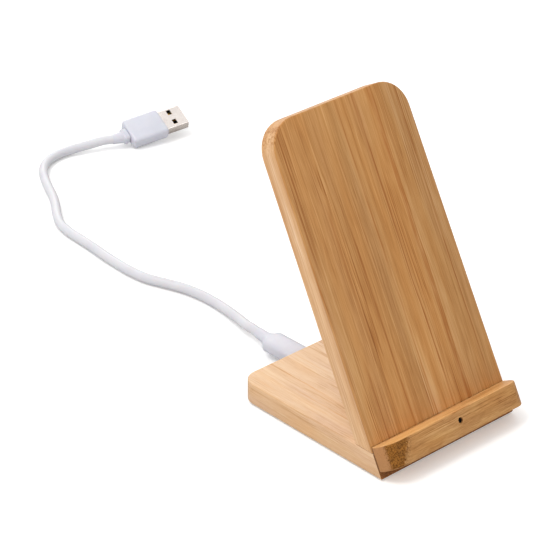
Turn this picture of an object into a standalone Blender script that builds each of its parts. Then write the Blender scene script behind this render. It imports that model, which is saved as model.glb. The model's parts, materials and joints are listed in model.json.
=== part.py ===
"""Bamboo wireless charging stand with its charging cable.

A bamboo board, 72 mm wide at its foot, leans back on a bamboo base, with a bamboo ledge across
its foot for the phone.  The board is routed out from behind for two charging
coils, the base is routed out from below for the circuit board, and a USB-C
socket in the base's rear edge takes the plug of a short white cable.

Units are metres, +Z up, +Y towards the rear, +X to the right seen from in front.
The origin is on the table, under the middle of the stand's own box.
"""

import math

import bmesh
import bpy
import numpy as np
from mathutils import Matrix, Vector

MM = 0.001

# ---------------------------------------------------------------- driving dimensions (mm)
GAP = 0.3                # clearance kept between neighbouring pieces
WIDTH = 71.8             # base, ledge and the board's foot
TOP_WIDTH = 68.8         # the board narrows a little towards its top
LEAN = 28.3              # degrees the board leans back from upright
BOARD_LENGTH = 138.9     # along the slope, from the base's lower front edge
BOARD_THICK = 8.4
BOARD_CORNER = 12.5      # radius of the two upper corners
BASE_THICK = 9.0
BASE_DEPTH = 79.2
BASE_CORNER = 7.0        # radius of the two rear corners
EDGE = 0.5               # round-over on the bamboo edges
LEDGE_RISE = 3.0         # ledge's underside above the lower front edge, along the slope
LEDGE_HEIGHT = 9.9
LEDGE_DEPTH = 9.2
LEDGE_CORNER_L = 8.0
LEDGE_CORNER_R = 5.0
LEDGE_EDGE = 0.6
FOOT_PROUD = 0.5         # the feet hold the base this far above the table
FOOT_R = 3.5
FOOT_X = 29.5
FOOT_INSET = 6.5

COVER_THICK = 1.2        # bottom cover
COVER_HALF = 25.2
SKIN_TOP = 1.9           # bamboo left above the base's cavity
REAR_WALL = 2.5
REAR_COVER_THICK = 2.0   # cover on the back of the board

PORT_X = -3.2            # middle of the socket
PORT_Z = 5.1
PLUG_W, PLUG_H = 8.25, 2.4
PLUG_LEN = 6.5
SHELL_WALL = 0.3
BOOT_W, BOOT_H = 10.8, 6.2
BOOT_LEN = 18.0          # flat part of the plug's moulding
NECK_LEN = 7.9           # tapered neck behind it
NECK_BEND = 0.15         # how far the neck's end leans to the right, as a slope

CABLE_D = 4.2
A_SHELL_W, A_SHELL_H, A_SHELL_LEN = 12.0, 4.5, 10.65
A_BODY_W, A_BODY_H, A_BODY_LEN = 14.3, 6.2, 18.5
A_COLLAR_LEN = 2.6
A_NECK_LEN = 4.7
A_NECK_BEND = 0.25
A_YAW, A_PITCH, A_ROLL = -12.7, 5.9, 23.2
A_FACE = (91.7, 241.0)   # where the plug's metal leaves its moulding, on plan

COIL_IN, COIL_OUT, COIL_THICK = 10.5, 21.0, 1.3
COIL_LOW, COIL_HIGH = 49.0, 93.0   # heights up the slope

# ---------------------------------------------------------------- derived positions (mm)
TH = math.radians(LEAN)
SIN, COS, TAN = math.sin(TH), math.cos(TH), math.tan(TH)
ZB = FOOT_PROUD                              # base's underside
ZT = ZB + BASE_THICK                         # base's top
LEDGE_REACH = (LEDGE_DEPTH - LEDGE_EDGE) * COS + LEDGE_EDGE - (LEDGE_RISE + LEDGE_EDGE) * SIN
YF = -(BASE_DEPTH - LEDGE_REACH) / 2         # base's lower front edge
YR = YF + BASE_DEPTH                         # base's rear face
Z_CAVITY = ZT - SKIN_TOP                     # ceiling of the base's cavity
Z_COVER = ZB + COVER_THICK                   # inner face of the bottom cover
PCB_BOTTOM = Z_COVER + GAP
PCB_TOP = PCB_BOTTOM + 0.7
PCB_REAR = YR - REAR_WALL - GAP
PCB_FRONT = PCB_REAR - 36.0


# ---------------------------------------------------------------- scene
for old in list(bpy.data.objects):
    bpy.data.objects.remove(old, do_unlink=True)

parts = bpy.data.collections.new("wireless_charging_stand")
cutters = bpy.data.collections.new("cutters")
bpy.context.scene.collection.children.link(parts)
bpy.context.scene.collection.children.link(cutters)


def finish(name, rgb, rough, metal=0.0):
    m = bpy.data.materials.new(name)
    m.use_nodes = True
    shader = m.node_tree.nodes["Principled BSDF"]
    shader.inputs["Base Color"].default_value = (*rgb, 1.0)
    shader.inputs["Roughness"].default_value = rough
    shader.inputs["Metallic"].default_value = metal
    m.diffuse_color = (*rgb, 1.0)
    return m


bamboo = finish("bamboo", (0.52, 0.27, 0.09), 0.5)
bamboo_light = finish("bamboo_light", (0.80, 0.58, 0.36), 0.5)
bamboo_end = finish("bamboo_ledge", (0.47, 0.24, 0.08), 0.5)
beech = finish("beech_dowel", (0.72, 0.52, 0.32), 0.6)
black_plastic = finish("black_plastic", (0.03, 0.03, 0.03), 0.5)
smoked = finish("smoked_lens", (0.01, 0.01, 0.01), 0.2)
silicone = finish("silicone_foot", (0.08, 0.08, 0.08), 0.8)
white_plastic = finish("white_moulding", (0.80, 0.80, 0.88), 0.35)
white_jacket = finish("white_jacket", (0.80, 0.80, 0.84), 0.4)
steel = finish("plated_steel", (0.80, 0.76, 0.72), 0.25, 1.0)
screw_steel = finish("screw_steel", (0.45, 0.45, 0.47), 0.35, 1.0)
board_green = finish("board_green", (0.02, 0.16, 0.07), 0.45)
chip_black = finish("chip_black", (0.02, 0.02, 0.02), 0.6)
ferrite = finish("ferrite", (0.06, 0.06, 0.065), 0.7)
copper = finish("enamelled_copper", (0.60, 0.22, 0.08), 0.35, 1.0)
gold = finish("gold_plate", (0.80, 0.58, 0.25), 0.3, 1.0)
wire_red = finish("lead_insulation", (0.45, 0.03, 0.03), 0.5)
led_white = finish("led_package", (0.85, 0.85, 0.75), 0.4)
cap_tan = finish("capacitor_tan", (0.55, 0.40, 0.22), 0.5)


def empty(name, loc=(0, 0, 0), rot=(0, 0, 0), parent=None):
    e = bpy.data.objects.new(name, None)
    e.location = [v * MM for v in loc]
    e.rotation_euler = rot
    e.parent = parent
    parts.objects.link(e)
    return e


# The slope's frame: X across, Y into the board, Z up the slope.
slope = empty("slope_frame", (0, YF, ZB), (-TH, 0, 0))
# The plug leaves the socket along this point's Y axis.
socket = empty("socket_axis", (PORT_X, YR, PORT_Z))


def slope_to_world(x, y, s):
    return Vector((x, YF + y * COS + s * SIN, ZB - y * SIN + s * COS))


# ---------------------------------------------------------------- shape helpers
def add(name, mesh, material, parent=None, cutter=False, loc=(0, 0, 0), rot=(0, 0, 0)):
    ob = bpy.data.objects.new(name, mesh)
    ob.location = [v * MM for v in loc]
    ob.rotation_euler = rot
    ob.parent = parent
    if cutter:
        ob.hide_render = True
        ob.display_type = "WIRE"
        cutters.objects.link(ob)
    else:
        ob.data.materials.append(material)
        parts.objects.link(ob)
    return ob


def from_bmesh(bm, name):
    bmesh.ops.recalc_face_normals(bm, faces=bm.faces)
    me = bpy.data.meshes.new(name)
    bm.to_mesh(me)
    bm.free()
    return me


def box(name, lo, hi, material=None, parent=None, cutter=False, loc=(0, 0, 0), rot=(0, 0, 0)):
    """A box between two corners, in millimetres of its parent's frame."""
    bm = bmesh.new()
    bmesh.ops.create_cube(bm, size=1.0)
    size = [(b - a) * MM for a, b in zip(lo, hi)]
    mid = [(a + b) / 2 * MM for a, b in zip(lo, hi)]
    bmesh.ops.scale(bm, vec=size, verts=bm.verts)
    bmesh.ops.translate(bm, vec=mid, verts=bm.verts)
    return add(name, from_bmesh(bm, name), material, parent, cutter, loc, rot)


def rod(name, p0, p1, r, material=None, parent=None, cutter=False, sides=24, r2=None):
    """A cylinder, or a cone, from p0 to p1."""
    a, b = Vector(p0) * MM, Vector(p1) * MM
    bm = bmesh.new()
    bmesh.ops.create_cone(
        bm, cap_ends=True, cap_tris=False, segments=sides,
        radius1=r * MM, radius2=(r if r2 is None else r2) * MM, depth=(b - a).length,
    )
    turn = Vector((0, 0, 1)).rotation_difference((b - a).normalized()).to_matrix().to_4x4()
    bmesh.ops.transform(bm, matrix=Matrix.Translation((a + b) / 2) @ turn, verts=bm.verts)
    return add(name, from_bmesh(bm, name), material, parent, cutter)


def rounded(corners, radii, steps=8):
    """Corner points, counter-clockwise, with each corner turned on its own radius."""
    out = []
    n = len(corners)
    for i in range(n):
        p = Vector(corners[i])
        a = (Vector(corners[i - 1]) - p).normalized()
        b = (Vector(corners[(i + 1) % n]) - p).normalized()
        r = radii[i]
        if r <= 0:
            out.append((p.x, p.y))
            continue
        half = a.angle(b) / 2
        centre = p + (a + b).normalized() * (r / math.sin(half))
        start = p + a * (r / math.tan(half)) - centre
        end = p + b * (r / math.tan(half)) - centre
        t0 = math.atan2(start.y, start.x)
        t1 = math.atan2(end.y, end.x)
        while t1 < t0:
            t1 += 2 * math.pi
        for k in range(steps + 1):
            t = t0 + (t1 - t0) * k / steps
            out.append((centre.x + r * math.cos(t), centre.y + r * math.sin(t)))
    return out


def rect(x0, y0, x1, y1, radii, steps=6):
    if not isinstance(radii, (list, tuple)):
        radii = [radii] * 4
    return rounded([(x0, y0), (x1, y0), (x1, y1), (x0, y1)], radii, steps)


def sheet(name, outlines, z0, z1, upright=False):
    """A flat outline, with any holes, as thick as z1 - z0; upright turns its plane to XZ."""
    flat = bpy.data.curves.new(name + "_outline", "CURVE")
    flat.dimensions = "2D"
    flat.fill_mode = "BOTH"
    flat.extrude = (z1 - z0) / 2 * MM
    for outline in outlines:
        sp = flat.splines.new("POLY")
        sp.points.add(len(outline) - 1)
        for point, (x, y) in zip(sp.points, outline):
            point.co = (x * MM, y * MM, 0.0, 1.0)
        sp.use_cyclic_u = True
    holder = bpy.data.objects.new(name + "_outline", flat)
    bpy.context.scene.collection.objects.link(holder)
    graph = bpy.context.evaluated_depsgraph_get()
    me = bpy.data.meshes.new_from_object(holder.evaluated_get(graph))
    bpy.data.objects.remove(holder, do_unlink=True)
    bm = bmesh.new()
    bm.from_mesh(me)
    bmesh.ops.remove_doubles(bm, verts=bm.verts, dist=1e-6)
    if len(outlines) == 1:
        bmesh.ops.dissolve_limit(bm, angle_limit=math.radians(1), verts=bm.verts, edges=bm.edges)
    bmesh.ops.translate(bm, vec=(0, 0, (z0 + z1) / 2 * MM), verts=bm.verts)
    if upright:
        # plan Y becomes Z, thickness becomes -Y
        bmesh.ops.rotate(bm, cent=(0, 0, 0), matrix=Matrix.Rotation(math.pi / 2, 3, "X"), verts=bm.verts)
    return from_bmesh(bm, name)


def turned(name, profile, material, steps=24, parent=None, loc=(0, 0, 0), rot=(0, 0, 0), cutter=False):
    """A profile of (radius, height), from the top of the axis down its outer side."""
    me = bpy.data.meshes.new(name)
    me.from_pydata(
        [(r * MM, 0, z * MM) for r, z in profile],
        [(i, i + 1) for i in range(len(profile) - 1)], [],
    )
    ob = add(name, me, material, parent, cutter, loc, rot)
    s = ob.modifiers.new("turn", "SCREW")
    s.axis = "Z"
    s.angle = 2 * math.pi
    s.steps = steps
    s.render_steps = steps
    s.use_merge_vertices = True
    s.merge_threshold = 0.00001
    s.use_smooth_shade = True
    return ob


def loft(name, sections, material, parent=None, sides=24):
    """Superellipse rings joined in order along Y.

    A ring is (y, x, z, half width, half height, squareness) and may end in the slope
    x/y of the middle line there, which turns the ring to stand square to it.
    """
    bm = bmesh.new()
    rings = []
    for y, x, z, a, b, power, *bend in sections:
        lean = bend[0] if bend else 0.0
        ring = []
        for k in range(sides):
            t = 2 * math.pi * (k + 0.5) / sides
            c, s = math.cos(t), math.sin(t)
            px = a * math.copysign(abs(c) ** (2 / power), c)
            pz = b * math.copysign(abs(s) ** (2 / power), s)
            ring.append(bm.verts.new(((x + px) * MM, (y - lean * px) * MM, (z + pz) * MM)))
        rings.append(ring)
    for r0, r1 in zip(rings, rings[1:]):
        for k in range(sides):
            bm.faces.new((r0[k], r0[(k + 1) % sides], r1[(k + 1) % sides], r1[k]))
    bm.faces.new(rings[0])
    bm.faces.new(list(reversed(rings[-1])))
    return add(name, from_bmesh(bm, name), material, parent)


def cut(ob, *tools):
    for tool in tools:
        b = ob.modifiers.new("cut_" + tool.name, "BOOLEAN")
        b.operation = "DIFFERENCE"
        b.solver = "EXACT"
        b.object = tool
    return ob


def round_edges(ob, width, segments=3, angle=40.0):
    b = ob.modifiers.new("round", "BEVEL")
    b.width = width * MM
    b.segments = segments
    b.limit_method = "ANGLE"
    b.angle_limit = math.radians(angle)
    b.use_clamp_overlap = True
    return ob


def round_marked(ob, width, chosen, segments=3):
    """Rounds only the edges that chosen(a, b) picks, given their ends in millimetres."""
    marks = ob.data.attributes.new("bevel_weight_edge", "FLOAT", "EDGE")
    for e in ob.data.edges:
        a, b = (ob.data.vertices[i].co / MM for i in e.vertices)
        marks.data[e.index].value = 1.0 if chosen(a, b) else 0.0
    m = ob.modifiers.new("round", "BEVEL")
    m.width = width * MM
    m.segments = segments
    m.limit_method = "WEIGHT"
    m.use_clamp_overlap = True
    return ob


def smooth(ob, angle=35.0):
    ob.data.shade_smooth()
    if ob.type == "MESH":
        ob.data.set_sharp_from_angle(angle=math.radians(angle))
    return ob


def curve_through(points, spacing):
    """Evenly spaced points on a smooth curve (centripetal Catmull-Rom) through the route's points."""
    p = [np.array(q, float) for q in points]
    p = [2 * p[0] - p[1]] + p + [2 * p[-1] - p[-2]]
    fine = []
    for i in range(1, len(p) - 2):
        a, b, c, d = p[i - 1:i + 3]
        t0 = 0.0
        t1 = t0 + np.linalg.norm(b - a) ** 0.5
        t2 = t1 + np.linalg.norm(c - b) ** 0.5
        t3 = t2 + np.linalg.norm(d - c) ** 0.5
        for t in np.linspace(t1, t2, 24, endpoint=False):
            a1 = (t1 - t) / (t1 - t0) * a + (t - t0) / (t1 - t0) * b
            a2 = (t2 - t) / (t2 - t1) * b + (t - t1) / (t2 - t1) * c
            a3 = (t3 - t) / (t3 - t2) * c + (t - t2) / (t3 - t2) * d
            b1 = (t2 - t) / (t2 - t0) * a1 + (t - t0) / (t2 - t0) * a2
            b2 = (t3 - t) / (t3 - t1) * a2 + (t - t1) / (t3 - t1) * a3
            fine.append((t2 - t) / (t2 - t1) * b1 + (t - t1) / (t2 - t1) * b2)
    fine.append(p[-2])
    fine = np.array(fine)
    run = np.concatenate([[0], np.cumsum(np.linalg.norm(np.diff(fine, axis=0), axis=1))])
    count = max(2, round(run[-1] / spacing) + 1)
    even = np.linspace(0, run[-1], count)
    return np.stack([np.interp(even, run, fine[:, k]) for k in range(3)], 1)


def tube(name, points, radius, material, parent=None, origin=(0, 0, 0)):
    """A round cord along points (mm, world); origin is its parent's place."""
    cu = bpy.data.curves.new(name, "CURVE")
    cu.dimensions = "3D"
    cu.bevel_depth = radius * MM
    cu.bevel_resolution = 2
    cu.use_fill_caps = True
    sp = cu.splines.new("POLY")
    sp.points.add(len(points) - 1)
    for point, q in zip(sp.points, points):
        point.co = (*[(q[i] - origin[i]) * MM for i in range(3)], 1.0)
        point.radius = 1.0
    ob = bpy.data.objects.new(name, cu)
    cu.materials.append(material)
    ob.parent = parent
    parts.objects.link(ob)
    return ob


# ================================================================ shared cutters
lift = BOARD_THICK / 2 + 0.2            # depth of the dowels' axes in the board
dowel_bores = [
    rod(f"cut_board_dowel_{side}", (x, lift, 5.2), (x, lift, 18.8), 2.3, None, slope, True)
    for side, x in (("left", -25.0), ("right", 25.0))
]
ledge_mid = LEDGE_RISE + LEDGE_HEIGHT / 2
ledge_bores = [
    rod(f"cut_ledge_dowel_{side}", (x, -6.3, ledge_mid), (x, 6.3, ledge_mid), 1.8, None, slope, True)
    for side, x in (("left", -16.0), ("right", 16.0))
]
LED_X, LED_S = 1.8, LEDGE_RISE + 5.95
channel = rod("cut_wire_channel", (1.0, 4.4, 7.0), (1.0, 4.4, 26.0), 2.4, None, slope, True)
led_passage = rod("cut_led_passage", (LED_X, -0.8, 6.2), (LED_X, 6.4, 6.2), 0.9, None, slope, True, 16)

# ================================================================ leaning board
board_outline = rounded(
    [(-WIDTH / 2, 2.0), (WIDTH / 2, 2.0), (TOP_WIDTH / 2, BOARD_LENGTH), (-TOP_WIDTH / 2, BOARD_LENGTH)],
    [0, 0, BOARD_CORNER, BOARD_CORNER], 10,
)
board_mesh = sheet("back_panel", [board_outline], -BOARD_THICK, 0.0, upright=True)
back_panel = add("back_panel", board_mesh, bamboo, slope)
round_edges(back_panel, EDGE, 3)
bottom_cut = box("cut_board_foot", (-60, -90, -60), (60, 90, ZT + GAP), cutter=True)
rebate = add(
    "cut_rear_rebate",
    sheet("cut_rear_rebate", [rect(-31.3, 20.0, 31.3, 128.6, [3, 3, 8, 8])],
          -(BOARD_THICK + 4), -(BOARD_THICK - REAR_COVER_THICK - GAP), upright=True),
    None, slope, True,
)
pocket = add(
    "cut_coil_pocket",
    sheet("cut_coil_pocket", [rect(-28.0, 23.0, 28.0, 125.0, 5)],
          -(BOARD_THICK - 1.5), -2.2, upright=True),
    None, slope, True,
)
glue_seat = box("cut_glue_seat", (-60, -2, -6), (60, 0.1, LEDGE_RISE + LEDGE_HEIGHT + GAP), None, slope, True)
cut(back_panel, bottom_cut, rebate, pocket, channel, glue_seat, *dowel_bores)
smooth(back_panel)

panel_rear_cover = add(
    "panel_rear_cover",
    sheet("panel_rear_cover", [rect(-31.0, 20.3, 31.0, 128.3, [2.7, 2.7, 7.7, 7.7])],
          -BOARD_THICK, -(BOARD_THICK - REAR_COVER_THICK), upright=True),
    bamboo, slope,
)
round_edges(panel_rear_cover, 0.3, 2)
smooth(panel_rear_cover)

# ================================================================ base
base_outline = rounded(
    [(-WIDTH / 2, YF - 2), (WIDTH / 2, YF - 2), (WIDTH / 2, YR), (-WIDTH / 2, YR)],
    [0, 0, BASE_CORNER, BASE_CORNER], 8,
)
base_board = add("base_board", sheet("base_board", [base_outline], ZB, ZT), bamboo_light)
front_cut = box("cut_base_front", (-60, -40, -40), (60, 0, 60), None, slope, True)
cut(base_board, front_cut)
round_edges(base_board, EDGE * 0.8, 3)
cover_rebate = add(
    "cut_cover_rebate",
    sheet("cut_cover_rebate", [rect(-COVER_HALF - GAP, YF + 7.5, COVER_HALF + GAP, YR - REAR_WALL, 3)],
          ZB - 4, Z_COVER + GAP),
    None, None, True,
)
seat = box("cut_board_seat", (-20.8, PCB_FRONT - GAP, ZB - 1), (20.8, YR - REAR_WALL, PCB_TOP + GAP), cutter=True)
cavity = add(
    "cut_base_cavity",
    sheet("cut_base_cavity", [rect(-18.0, YF + 14.0, 18.0, YR - REAR_WALL, [3, 3, 0, 0])], ZB - 1, Z_CAVITY),
    None, None, True,
)
notch = box("cut_wire_notch", (-4.0, YF + 7.5, ZB - 1), (6.0, YF + 15.0, Z_CAVITY), cutter=True)
port = add(
    "cut_socket_opening",
    sheet("cut_socket_opening",
          [rect(PORT_X - 5.025, PORT_Z - 2.1, PORT_X + 5.025, PORT_Z + 2.1, 1.9)],
          -(YR + 3), -(YR - REAR_WALL - 1), upright=True),
    None, None, True,
)
FOOT_Y = (YF + FOOT_INSET, YR - FOOT_INSET)
foot_spots = {
    f"{a}_{b}": (sx * FOOT_X, y)
    for a, y in (("front", FOOT_Y[0]), ("rear", FOOT_Y[1]))
    for b, sx in (("left", -1), ("right", 1))
}
foot_bores = [
    rod(f"cut_foot_{k}", (x, y, ZB - 2), (x, y, ZB + 1.2), FOOT_R + GAP, None, None, True, 24)
    for k, (x, y) in foot_spots.items()
]
screw_spots = {
    f"{a}_{b}": (sx * 23.0, y)
    for a, y in (("front", YF + 12.0), ("rear", YR - 7.0))
    for b, sx in (("left", -1), ("right", 1))
}
pilot_bores = [
    rod(f"cut_pilot_{k}", (x, y, ZB), (x, y, ZB + 6.2), 1.1, None, None, True, 16)
    for k, (x, y) in screw_spots.items()
]
cut(base_board, cover_rebate, seat, cavity, notch, port, channel, led_passage,
    *dowel_bores, *ledge_bores, *foot_bores, *pilot_bores)
smooth(base_board)

# ---- bottom cover and what holds it
base_bottom_cover = add(
    "base_bottom_cover",
    sheet("base_bottom_cover",
          [rect(-COVER_HALF, YF + 7.5 + GAP, COVER_HALF, YR - REAR_WALL - GAP, 2.7)], ZB, Z_COVER),
    black_plastic,
)
# Countersunk holes in the cover's corners.
screw_holes = [
    turned(f"cut_cover_hole_{k}", [(0, 3.0), (1.1, 3.0), (1.1, 0.95), (2.0, 0.05), (2.0, -1.0), (0, -1.0)],
           None, 16, loc=(x, y, ZB), cutter=True)
    for k, (x, y) in screw_spots.items()
]
cut(base_bottom_cover, *screw_holes)
smooth(base_bottom_cover)

for k, (x, y) in screw_spots.items():
    # head downwards: a flat countersunk head with a small driver dimple, and a plain shank
    screw = turned(
        f"cover_screw_{k}",
        [(0, 5.9), (0.45, 5.7), (0.8, 5.0), (0.8, 0.95), (1.55, 0.2), (1.55, 0.05), (0.65, 0.05), (0, 0.55)],
        screw_steel, 16, loc=(x, y, ZB),
    )

for k, (x, y) in foot_spots.items():
    foot = turned(
        f"rubber_foot_{k}",
        [(0, ZB + 0.9), (FOOT_R, ZB + 0.9), (FOOT_R, 0.5), (FOOT_R - 0.15, 0.15), (FOOT_R - 0.5, 0.0), (0, 0.0)],
        silicone, 20, loc=(x, y, 0),
    )

for side, x in (("left", -25.0), ("right", 25.0)):
    dowel = rod(f"panel_dowel_{side}", (x, lift, 5.5), (x, lift, 18.5), 2.0, beech, slope, sides=16)
    round_edges(dowel, 0.4, 1)
    smooth(dowel)

# ================================================================ phone ledge
ledge_outline = rounded(
    [(-WIDTH / 2, -LEDGE_DEPTH), (WIDTH / 2, -LEDGE_DEPTH), (WIDTH / 2, -GAP), (-WIDTH / 2, -GAP)],
    [LEDGE_CORNER_L, LEDGE_CORNER_R, 0, 0], 8,
)
phone_ledge = add(
    "phone_ledge",
    sheet("phone_ledge", [ledge_outline], LEDGE_RISE, LEDGE_RISE + LEDGE_HEIGHT),
    bamboo_end, slope,
)
# The two long edges against the board stay square, and so do the short upright ones there.
round_marked(
    phone_ledge, LEDGE_EDGE,
    lambda a, b: abs(a.z - b.z) < 0.01 and not (a.y > -GAP - 0.01 and b.y > -GAP - 0.01),
)
led_pocket = box("cut_led_pocket", (LED_X - 4.0, -6.0, 4.6), (LED_X + 4.0, 1.0, 11.0), None, slope, True)
led_bore = rod("cut_led_bore", (LED_X, -12.0, LED_S), (LED_X, -5.5, LED_S), 1.2, None, slope, True, 20)
cut(phone_ledge, led_pocket, led_bore, *ledge_bores)
smooth(phone_ledge)

for side, x in (("left", -16.0), ("right", 16.0)):
    dowel = rod(f"ledge_dowel_{side}", (x, -6.0, ledge_mid), (x, 6.0, ledge_mid), 1.5, beech, slope, sides=14)
    round_edges(dowel, 0.3, 1)
    smooth(dowel)

# ---- status light in the ledge
status_lens = turned(
    "status_light_lens",
    [(0, 8.8), (0.65, 8.8), (0.9, 8.55), (0.9, 5.7), (1.9, 5.7), (1.9, 4.9), (0, 4.9)],
    smoked, 20, slope, (LED_X, 0, LED_S), (math.pi / 2, 0, 0),
)
status_led = box("status_led", (LED_X - 1.0, -4.6, LED_S - 0.8), (LED_X + 1.0, -3.8, LED_S + 0.8), led_white, slope)
led_board = box("led_board", (LED_X - 3.3, -3.5, 5.1), (LED_X + 3.3, -2.7, 10.5), board_green, slope)

# ================================================================ coils in the board
for label, s in (("lower", COIL_LOW), ("upper", COIL_HIGH)):
    # flat winding: rows of turns stand as shallow ridges on both faces
    turns = 3
    pitch = (COIL_OUT - COIL_IN) / turns
    top, low = 2.5, 2.5 + COIL_THICK
    face_a, face_b = [], []
    for i in range(turns):
        r0 = COIL_OUT - i * pitch
        face_a.append((r0 - 0.25 * pitch, 0.0))
        face_a.append((r0 - 0.75 * pitch, 0.0))
        if i < turns - 1:
            face_a.append((r0 - pitch, -0.25))
    outer = [(COIL_OUT, -0.3), (COIL_OUT, -COIL_THICK + 0.3)]
    under = [(r, -COIL_THICK - z) for r, z in face_a]
    inner = [(COIL_IN, -COIL_THICK + 0.3), (COIL_IN, -0.3)]
    ring = list(reversed(face_a)) + outer + under + inner
    me = bpy.data.meshes.new(f"{label}_charging_coil")
    me.from_pydata([(r * MM, 0, z * MM) for r, z in ring], [(i, (i + 1) % len(ring)) for i in range(len(ring))], [])
    coil = add(f"{label}_charging_coil", me, copper, slope, False, (0, 2.5, s), (math.pi / 2, 0, 0))
    w = coil.modifiers.new("turn", "SCREW")
    w.axis = "Z"
    w.angle = 2 * math.pi
    w.steps = 28
    w.render_steps = 28
    w.use_merge_vertices = True
    w.merge_threshold = 0.00001
    w.use_smooth_shade = True

ferrite_shield = add(
    "ferrite_shield",
    sheet("ferrite_shield", [rect(-25.0, 26.0, 25.0, 116.0, 2.0, 4)], -5.0, -4.1, upright=True),
    ferrite, slope,
)

# ================================================================ circuit board and what it carries
main_board = box("main_circuit_board", (-20.5, PCB_FRONT, PCB_BOTTOM), (20.5, PCB_REAR, PCB_TOP), board_green)
ON = PCB_TOP + GAP                    # components stand on the board
MY = PCB_FRONT


def chip(name, x, y, w, d, h, material, edge=0.15):
    ob = box(name, (x - w / 2, y - d / 2, ON), (x + w / 2, y + d / 2, ON + h), material)
    if edge:
        round_edges(ob, edge, 1)
    return ob


chip("controller_chip", 0.0, MY + 15.5, 6.0, 6.0, 0.9, chip_black)
chip("bridge_driver_left", -8.5, MY + 9.0, 4.0, 5.0, 0.9, chip_black)
chip("bridge_driver_right", 8.5, MY + 9.0, 4.0, 5.0, 0.9, chip_black)
power_inductor = turned(
    "power_inductor",
    [(0, 3.0), (2.7, 3.0), (3.0, 2.8), (3.0, 2.2), (2.5, 2.0), (2.5, 1.0), (3.0, 0.8), (3.0, 0.0), (0, 0.0)],
    ferrite, 20, loc=(-12.0, MY + 18.5, ON),
)
chip("resonant_capacitor_left", 11.0, MY + 16.5, 3.2, 5.0, 2.4, cap_tan, 0.3)
chip("resonant_capacitor_right", 15.0, MY + 16.5, 3.2, 5.0, 2.4, cap_tan, 0.3)
chip("input_capacitor", 10.0, MY + 27.0, 3.2, 2.6, 2.2, cap_tan, 0.3)

# ---- USB-C socket: a drawn steel shell round a moulded tongue
RW, RH = PLUG_W + 2 * GAP, PLUG_H + 2 * GAP        # inside
SW, SH = RW + 2 * SHELL_WALL, RH + 2 * SHELL_WALL  # outside
MOUTH = YR - 0.2
socket_shell = add(
    "usb_c_socket_shell",
    sheet("usb_c_socket_shell", [
        rect(PORT_X - SW / 2, PORT_Z - SH / 2, PORT_X + SW / 2, PORT_Z + SH / 2, 1.75, 6),
        rect(PORT_X - RW / 2, PORT_Z - RH / 2, PORT_X + RW / 2, PORT_Z + RH / 2, 1.45, 6),
    ], -MOUTH, -(MOUTH - 8.5), upright=True),
    steel,
)
smooth(socket_shell)
socket_tongue = box(
    "usb_c_socket_tongue",
    (PORT_X - 3.7, MOUTH - 8.2, PORT_Z - 0.95), (PORT_X + 3.7, MOUTH - 6.8, PORT_Z + 0.95), black_plastic,
)
tongue_blade = box(
    "tongue_blade",
    (PORT_X - 3.2, MOUTH - 7.4, PORT_Z - 0.38), (PORT_X + 3.2, MOUTH - 1.4, PORT_Z + 0.38), cutter=True,
)
joined = socket_tongue.modifiers.new("blade", "BOOLEAN")
joined.operation = "UNION"
joined.solver = "EXACT"
joined.object = tongue_blade

# ---- leads between the board's coils, the light and the circuit board
def slope_pts(*pts):
    return [tuple(slope_to_world(*p)) for p in pts]


PAD_Y = PCB_FRONT + 2.0
lower_route = slope_pts((4.0, 3.2, 27.3), (3.2, 3.3, 25.6), (2.2, 4.0, 23.6), (2.1, 4.4, 20.5), (2.1, 4.4, 16.0), (2.1, 4.4, 12.0)) + [
    (2.3, YF + 9.6, ZB + 5.3), (2.8, YF + 15.0, ZB + 4.2), (3.9, YF + 26.0, ZB + 3.6),
    (4.8, YF + 36.0, PCB_TOP + 0.95), (5.0, PAD_Y, PCB_TOP + 0.95)]
upper_route = slope_pts(
    (-22.4, 3.2, 90.0), (-24.6, 3.2, 84.0), (-25.4, 3.2, 70.0), (-25.4, 3.2, 45.0), (-23.6, 3.2, 32.0),
    (-16.0, 3.2, 26.2), (-6.0, 3.2, 25.2), (-1.8, 3.5, 24.8), (-0.4, 4.1, 23.2), (-0.15, 4.4, 20.0), (-0.15, 4.4, 16.0), (-0.15, 4.4, 12.0)) + [
    (-0.3, YF + 9.6, ZB + 5.3), (-1.2, YF + 15.0, ZB + 4.2), (-3.3, YF + 26.0, ZB + 3.6),
    (-4.8, YF + 36.0, PCB_TOP + 0.95), (-5.0, PAD_Y, PCB_TOP + 0.95)]
led_route = slope_pts((LED_X, -2.3, 6.25), (LED_X, -0.5, 6.2), (LED_X, 3.0, 6.2), (LED_X, 5.2, 6.2)) + [
    (LED_X, YF + 11.0, ZB + 2.7), (0.7, YF + 22.0, ZB + 2.6), (0.3, YF + 34.0, PCB_TOP + 0.8), (0.2, PAD_Y, PCB_TOP + 0.8)]
tube("lower_coil_lead", curve_through(lower_route, 3.6), 0.6, wire_red)
tube("upper_coil_lead", curve_through(upper_route, 3.8), 0.6, wire_red)
tube("status_light_lead", curve_through(led_route, 3.6), 0.45, wire_red)

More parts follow.
